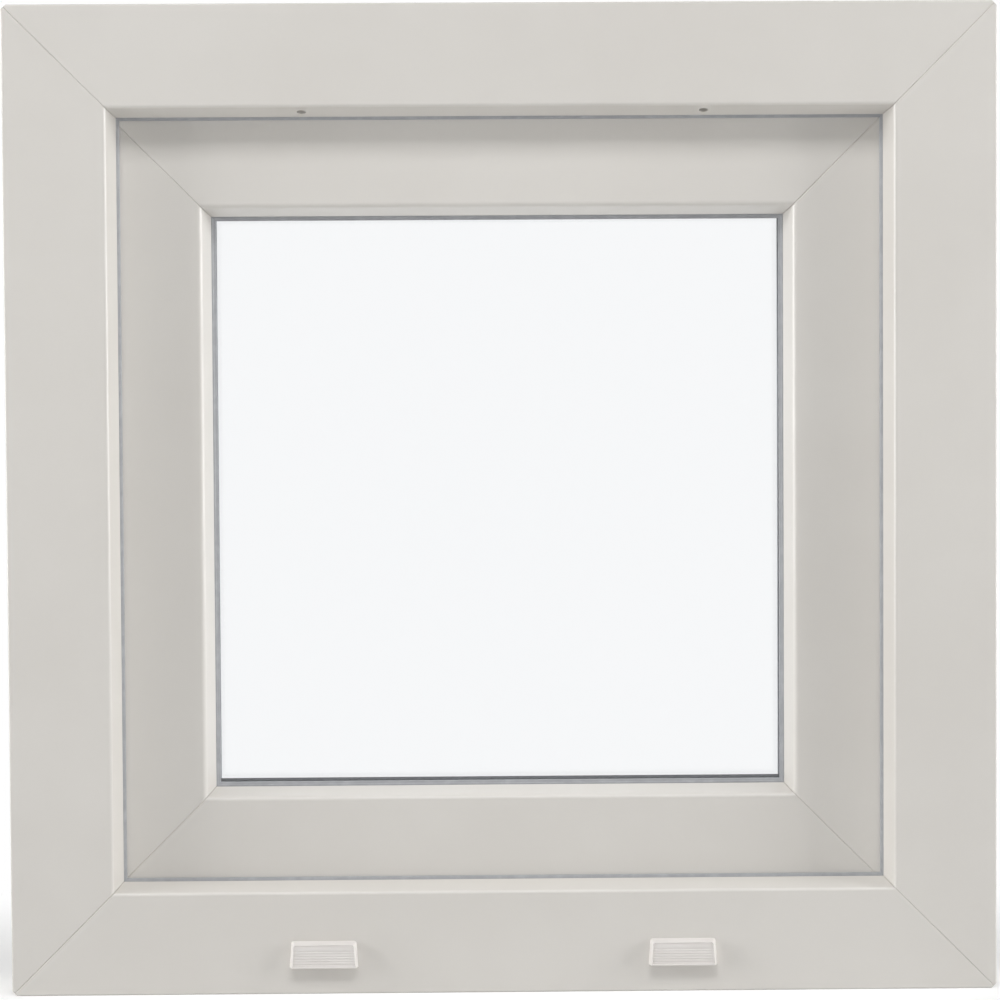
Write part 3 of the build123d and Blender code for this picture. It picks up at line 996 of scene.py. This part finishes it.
@dataclass
class Hinge:
    """Room side hinge: bearing, band, pin and a cover, with the screws that hold them."""

    name: str
    knuckle_round: float = 7.5 * MM
    cover_wall: float = 1.5 * MM
    cover_soften: float = 0.4 * MM
    cover_soften_angle: float = 50.0
    plate: float = 3.0 * MM
    screw_from_side: float = 5.0 * MM
    screw_from_end: float = 7 * MM
    screw_radius: float = 3.4 * MM
    screw_rise: float = 1.2 * MM
    screw_sink: float = 0.4 * MM
    screw_round: float = 0.5 * MM
    rim_share: float = 0.45
    socket_step: float = 0.1 * MM
    socket_depth: float = 0.7 * MM

    def build(self) -> None:
        """Dresses the metal, and adds a smooth cover and the screws."""
        dress([f"{self.name}_{piece}" for piece in ("bearing", "band", "pin")], ZINC)
        self.cover()
        self.screws()

    def cover(self) -> None:
        """Models the cover round the band's knuckle."""
        node = f"{self.name}_cap"
        low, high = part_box(node)
        cover = Workpiece.box(f"{self.name}_hinge_cover", low, high)
        cover.pick(Part.EDGE, lambda at, way: abs(way.z) > ALONG and at.x < low.x + NEAR)
        cover.bevel(self.knuckle_round, 8)
        cover.pick(Part.FACE, lambda _, way: way.x > ALONG or abs(way.z) > ALONG)
        bpy.ops.mesh.delete(type="FACE")
        cover.modify("SOLIDIFY", thickness=self.cover_wall, offset=-1.0, use_even_offset=True)
        cover.modify("BEVEL", width=self.cover_soften, segments=2, limit_method="ANGLE",
                     angle_limit=math.radians(self.cover_soften_angle))
        cover.done(CAP, "white_cap", (node,))

    def screws(self) -> None:
        """Adds low round screws, each with a socket in its head, to the bearing's plate."""
        low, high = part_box(f"{self.name}_bearing")
        seat = low.y + self.plate - self.screw_sink
        crown = seat + self.screw_rise
        x = low.x + self.screw_from_side
        places = [low.z + self.screw_from_end, (low.z + high.z) / 2, high.z - self.screw_from_end]
        first = Workpiece.drum(f"{self.name}_screw_1", self.screw_radius, (x, seat, places[0]),
                               (0, self.screw_rise, 0), 24)
        first.pick(Part.EDGE, lambda at, _: at.y > crown - NEAR / 2).bevel(self.screw_round, 3)
        first.pick(Part.FACE, lambda _, way: way.y > SQUARE)
        first.inset(self.screw_radius * self.rim_share)
        middle = Vector((x, crown, places[0]))
        first.pick(Part.FACE, lambda at, way: way.y > SQUARE and (at - middle).length < 4 * NEAR)
        first.inset(self.socket_step, self.socket_depth)
        for number, z in enumerate(places[1:], 2):
            step = Matrix.Translation((0, 0, z - places[0]))
            first.copied(f"{self.name}_screw_{number}", step).done(ZINC, "zinc_steel")
        first.done(ZINC, "zinc_steel")


# Studio


@dataclass
class Lamp:
    """One white soft box, which lights and may be mirrored but isn't seen itself."""

    name: str
    place: Place
    size: tuple[float, float]
    power: float
    target: Place = (0.0, 0.0, 0.3)
    mirrored: bool = True

    def build(self) -> None:
        """Adds the lamp."""
        data = bpy.data.lights.new(self.name, "AREA")
        data.shape = "RECTANGLE"
        data.size, data.size_y = self.size
        data.energy = self.power
        lamp = bpy.data.objects.new(self.name, data)
        bpy.context.scene.collection.objects.link(lamp)
        lamp.location = self.place
        aim = Vector(self.target) - Vector(self.place)
        lamp.rotation_euler = aim.to_track_quat("-Z", "Y").to_euler()
        lamp.visible_camera = False
        lamp.visible_transmission = False
        lamp.visible_glossy = self.mirrored


@dataclass
class Studio:
    """Pale floor, white surroundings, soft lamps and the camera."""

    ambient: float = 0.15
    ceiling_shade: float = 0.3
    ceiling_climb: tuple[float, float] = (0.2, 0.6)
    floor_size: float = 12.0
    floor_colour: Colour = (0.80, 0.80, 0.80)
    floor_lift: float = 0.25
    shadow_reach: tuple[float, float] = (0.32, 0.5)
    camera_place: Place = (-0.0266, -2.0, 0.3827)
    camera_angles: Place = (0.732, -2.404, -0.344)
    lens: float = 116.94
    sensor: float = 36.0
    lamps: list[Lamp] = field(default_factory=lambda: [
        Lamp("overhead_lamp", (0.0, -1.38, 2.27), (1.8, 0.6), 28.5),
        Lamp("left_lamp", (-2.33, -0.49, 0.63), (0.8, 1.4), 38.0),
        Lamp("right_lamp", (2.33, -0.49, 0.63), (0.8, 1.4), 38.5),
        Lamp("low_back_lamp", (0.0, 0.5, 0.01), (2.1, 0.76), 10.5, (0.0, 0.499, 1.0), False),
        Lamp("room_lamp", (0.0, 3.0, 0.5), (1.9, 1.1), 20.0),
    ])

    def build(self) -> None:
        """Builds everything round the window."""
        self.floor()
        self.surroundings()
        for lamp in self.lamps:
            lamp.build()
        self.camera()
        bpy.context.scene.view_settings.view_transform = "Standard"

    def floor(self) -> None:
        """Pale floor that shows as white, and near the window as grey where it is shaded."""
        put_down()
        bpy.ops.mesh.primitive_plane_add(size=self.floor_size)
        floor = bpy.context.active_object
        floor.name = "studio_floor"
        made = bpy.data.materials.new("studio_floor")
        graph = Graph(made)
        matt = graph.node("ShaderNodeBsdfDiffuse", {}, {"Color": self.floor_colour})
        lift = {"Strength": self.floor_lift * graph.seen()}
        glow = graph.node("ShaderNodeEmission", {}, lift)
        shaded = graph.node("ShaderNodeAddShader", {}, {0: matt.outputs[0], 1: glow.outputs[0]})
        white = graph.node("ShaderNodeEmission")
        length = graph.node("ShaderNodeVectorMath", {"operation": "LENGTH"}, {0: graph.place()})
        away = Value(graph, length.outputs["Value"])
        far = away.ramp(*self.shadow_reach) * graph.seen()
        graph.surface(graph.node("ShaderNodeMixShader", {}, {
            0: far, 1: shaded.outputs[0], 2: white.outputs[0],
        }))
        floor.data.materials.append(made)

    def surroundings(self) -> None:
        """White where it is seen, greyer far up, and a dimmer even light elsewhere."""
        world = bpy.data.worlds.new("studio")
        bpy.context.scene.world = world
        graph = Graph(world)
        way = graph.node("ShaderNodeTexCoord").outputs["Generated"]
        climb = Value(graph, graph.node("ShaderNodeSeparateXYZ", {}, {0: way}).outputs[2])
        backdrop = 1.0 - self.ceiling_shade * climb.ramp(*self.ceiling_climb)
        strength = self.ambient + (backdrop - self.ambient) * graph.seen()
        graph.surface(graph.node("ShaderNodeBackground", {}, {
            "Color": (1.0, 1.0, 1.0), "Strength": strength,
        }))

    def camera(self) -> None:
        """Camera two metres out, near the window's middle, as the photograph was taken."""
        yaw, pitch, roll = (math.radians(angle) for angle in self.camera_angles)
        ahead = Vector((math.sin(yaw) * math.cos(pitch), math.cos(yaw) * math.cos(pitch),
                        math.sin(pitch)))
        right = Vector((math.cos(yaw), -math.sin(yaw), 0.0))
        up = right.cross(ahead)
        across = right * math.cos(roll) + up * math.sin(roll)
        above = up * math.cos(roll) - right * math.sin(roll)
        data = bpy.data.cameras.new("camera")
        data.sensor_width = self.sensor
        data.lens = self.lens
        camera = bpy.data.objects.new("camera", data)
        bpy.context.scene.collection.objects.link(camera)
        turn = Matrix((across, above, -ahead)).transposed().to_4x4()
        camera.matrix_world = Matrix.Translation(self.camera_place) @ turn
        bpy.context.scene.camera = camera


def main() -> None:
    """Builds the window's pieces in order, then the studio."""
    logging.basicConfig(level=logging.INFO, format="%(name)s: %(message)s")
    OuterFrame().build()
    Sash().build()
    Glazing().build()
    for side in ("left", "right"):
        DrainCover(side).build()
    Handle().build()
    Hinge("corner").build()
    Hinge("stay").build()
    Studio().build()


if __name__ == "__main__":
    main()
